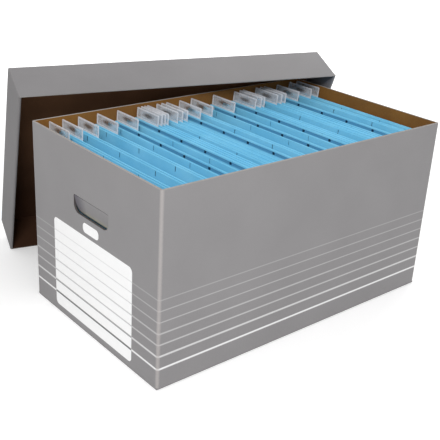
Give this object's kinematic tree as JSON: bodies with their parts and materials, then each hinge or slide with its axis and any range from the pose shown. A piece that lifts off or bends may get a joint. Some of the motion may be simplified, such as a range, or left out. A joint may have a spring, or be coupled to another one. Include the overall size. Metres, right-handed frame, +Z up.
{
  "type": "cardboard file archive box",
  "caption": "Open cardboard archive box holding leaning suspension files with clear index tabs, its rolled-end lid leaned against the back.",
  "frame": {"origin": "centre of the box's base, on the floor", "axes": "+X along the box's long side to the right, -Y out of its front long side, +Z up"},
  "size_m": [0.6143, 0.5746, 0.3496],
  "materials": {
    "box_board": "grey printed outside, brown kraft inside",
    "lid_board": "grey printed outside, brown kraft inside",
    "blue_card": "matt dyed card",
    "clear_plastic": "clear"
  },
  "bodies": {
    "box": {"box_sleeve": "box_board", "base_flap_front": "box_board", "base_flap_back": "box_board", "base_flap_left": "box_board", "base_flap_right": "box_board"},
    "hand_flap_left": {"hand_flap_left": "box_board"},
    "hand_flap_right": {"hand_flap_right": "box_board"},
    "lid": {"lid_tray": "lid_board", "lid_end_leaf_left": "lid_board", "lid_end_leaf_right": "lid_board", "lid_corner_tucks": "lid_board"},
    "file_01": {"file_01_card": "blue_card", "file_01_tab": "clear_plastic"},
    "file_02": {"file_02_card": "blue_card", "file_02_tab": "clear_plastic"},
    "file_03": {"file_03_card": "blue_card", "file_03_tab": "clear_plastic"},
    "file_04": {"file_04_card": "blue_card", "file_04_tab": "clear_plastic"},
    "file_05": {"file_05_card": "blue_card", "file_05_tab": "clear_plastic"},
    "file_06": {"file_06_card": "blue_card", "file_06_tab": "clear_plastic"},
    "file_07": {"file_07_card": "blue_card", "file_07_tab": "clear_plastic"},
    "file_08": {"file_08_card": "blue_card", "file_08_tab": "clear_plastic"},
    "file_09": {"file_09_card": "blue_card", "file_09_tab": "clear_plastic"},
    "file_10": {"file_10_card": "blue_card", "file_10_tab": "clear_plastic"},
    "file_11": {"file_11_card": "blue_card", "file_11_tab": "clear_plastic"},
    "file_12": {"file_12_card": "blue_card", "file_12_tab": "clear_plastic"},
    "file_13": {"file_13_card": "blue_card", "file_13_tab": "clear_plastic"},
    "file_14": {"file_14_card": "blue_card", "file_14_tab": "clear_plastic"},
    "file_15": {"file_15_card": "blue_card", "file_15_tab": "clear_plastic"},
    "file_16": {"file_16_card": "blue_card", "file_16_tab": "clear_plastic"},
    "file_17": {"file_17_card": "blue_card", "file_17_tab": "clear_plastic"},
    "file_18": {"file_18_card": "blue_card", "file_18_tab": "clear_plastic"},
    "file_19": {"file_19_card": "blue_card", "file_19_tab": "clear_plastic"},
    "file_20": {"file_20_card": "blue_card", "file_20_tab": "clear_plastic"},
    "file_21": {"file_21_card": "blue_card", "file_21_tab": "clear_plastic"},
    "file_22": {"file_22_card": "blue_card", "file_22_tab": "clear_plastic"},
    "file_23": {"file_23_card": "blue_card", "file_23_tab": "clear_plastic"},
    "file_24": {"file_24_card": "blue_card", "file_24_tab": "clear_plastic"}
  },
  "joints": [
    {"name": "hand_flap_left_fold", "type": "hinge", "parent": "box", "child": "hand_flap_left", "pos_m": [-0.2765, 0, 0.2187], "axis": [0, -1, 0], "range_deg": [-12, 22]},
    {"name": "hand_flap_right_fold", "type": "hinge", "parent": "box", "child": "hand_flap_right", "pos_m": [0.2765, 0, 0.2187], "axis": [0, 1, 0], "range_deg": [-12, 18]},
    {"name": "lid_lift", "type": "slide", "parent": "box", "child": "lid", "axis": [0, 0, 1], "range_m": [0, 0.3]},
    {"name": "file_01_lift", "type": "slide", "parent": "box", "child": "file_01", "axis": [0.0116, 0, 0.9999], "range_m": [0, 0.29]},
    {"name": "file_02_lift", "type": "slide", "parent": "box", "child": "file_02", "axis": [0.0155, 0, 0.9999], "range_m": [0, 0.29]},
    {"name": "file_03_lift", "type": "slide", "parent": "box", "child": "file_03", "axis": [0.0203, 0, 0.9998], "range_m": [0, 0.29]},
    {"name": "file_04_lift", "type": "slide", "parent": "box", "child": "file_04", "axis": [0.0263, 0, 0.9997], "range_m": [0, 0.29]},
    {"name": "file_05_lift", "type": "slide", "parent": "box", "child": "file_05", "axis": [0.0309, 0, 0.9995], "range_m": [0, 0.29]},
    {"name": "file_06_lift", "type": "slide", "parent": "box", "child": "file_06", "axis": [0.0371, 0, 0.9993], "range_m": [0, 0.29]},
    {"name": "file_07_lift", "type": "slide", "parent": "box", "child": "file_07", "axis": [0.0409, 0, 0.9992], "range_m": [0, 0.29]},
    {"name": "file_08_lift", "type": "slide", "parent": "box", "child": "file_08", "axis": [0.0419, 0, 0.9991], "range_m": [0, 0.29]},
    {"name": "file_09_lift", "type": "slide", "parent": "box", "child": "file_09", "axis": [0.043, 0, 0.9991], "range_m": [0, 0.29]},
    {"name": "file_10_lift", "type": "slide", "parent": "box", "child": "file_10", "axis": [0.0462, 0, 0.9989], "range_m": [0, 0.024]},
    {"name": "file_11_lift", "type": "slide", "parent": "box", "child": "file_11", "axis": [0.048, 0, 0.9988], "range_m": [0, 0.024]},
    {"name": "file_12_lift", "type": "slide", "parent": "box", "child": "file_12", "axis": [0.0497, 0, 0.9988], "range_m": [0, 0.024]},
    {"name": "file_13_lift", "type": "slide", "parent": "box", "child": "file_13", "axis": [0.0515, 0, 0.9987], "range_m": [0, 0.024]},
    {"name": "file_14_lift", "type": "slide", "parent": "box", "child": "file_14", "axis": [0.0588, 0, 0.9983], "range_m": [0, 0.024]},
    {"name": "file_15_lift", "type": "slide", "parent": "box", "child": "file_15", "axis": [0.0649, 0, 0.9979], "range_m": [0, 0.024]},
    {"name": "file_16_lift", "type": "slide", "parent": "box", "child": "file_16", "axis": [0.0726, 0, 0.9974], "range_m": [0, 0.024]},
    {"name": "file_17_lift", "type": "slide", "parent": "box", "child": "file_17", "axis": [0.078, 0, 0.997], "range_m": [0, 0.024]},
    {"name": "file_18_lift", "type": "slide", "parent": "box", "child": "file_18", "axis": [0.0793, 0, 0.9969], "range_m": [0, 0.024]},
    {"name": "file_19_lift", "type": "slide", "parent": "box", "child": "file_19", "axis": [0.0847, 0, 0.9964], "range_m": [0, 0.024]},
    {"name": "file_20_lift", "type": "slide", "parent": "box", "child": "file_20", "axis": [0.0866, 0, 0.9962], "range_m": [0, 0.024]},
    {"name": "file_21_lift", "type": "slide", "parent": "box", "child": "file_21", "axis": [0.0882, 0, 0.9961], "range_m": [0, 0.024]},
    {"name": "file_22_lift", "type": "slide", "parent": "box", "child": "file_22", "axis": [0.0902, 0, 0.9959], "range_m": [0, 0.027]},
    {"name": "file_23_lift", "type": "slide", "parent": "box", "child": "file_23", "axis": [0.0995, 0, 0.995], "range_m": [0, 0.028]},
    {"name": "file_24_lift", "type": "slide", "parent": "box", "child": "file_24", "axis": [0.1028, 0, 0.9947], "range_m": [0, 0.022]}
  ]
}
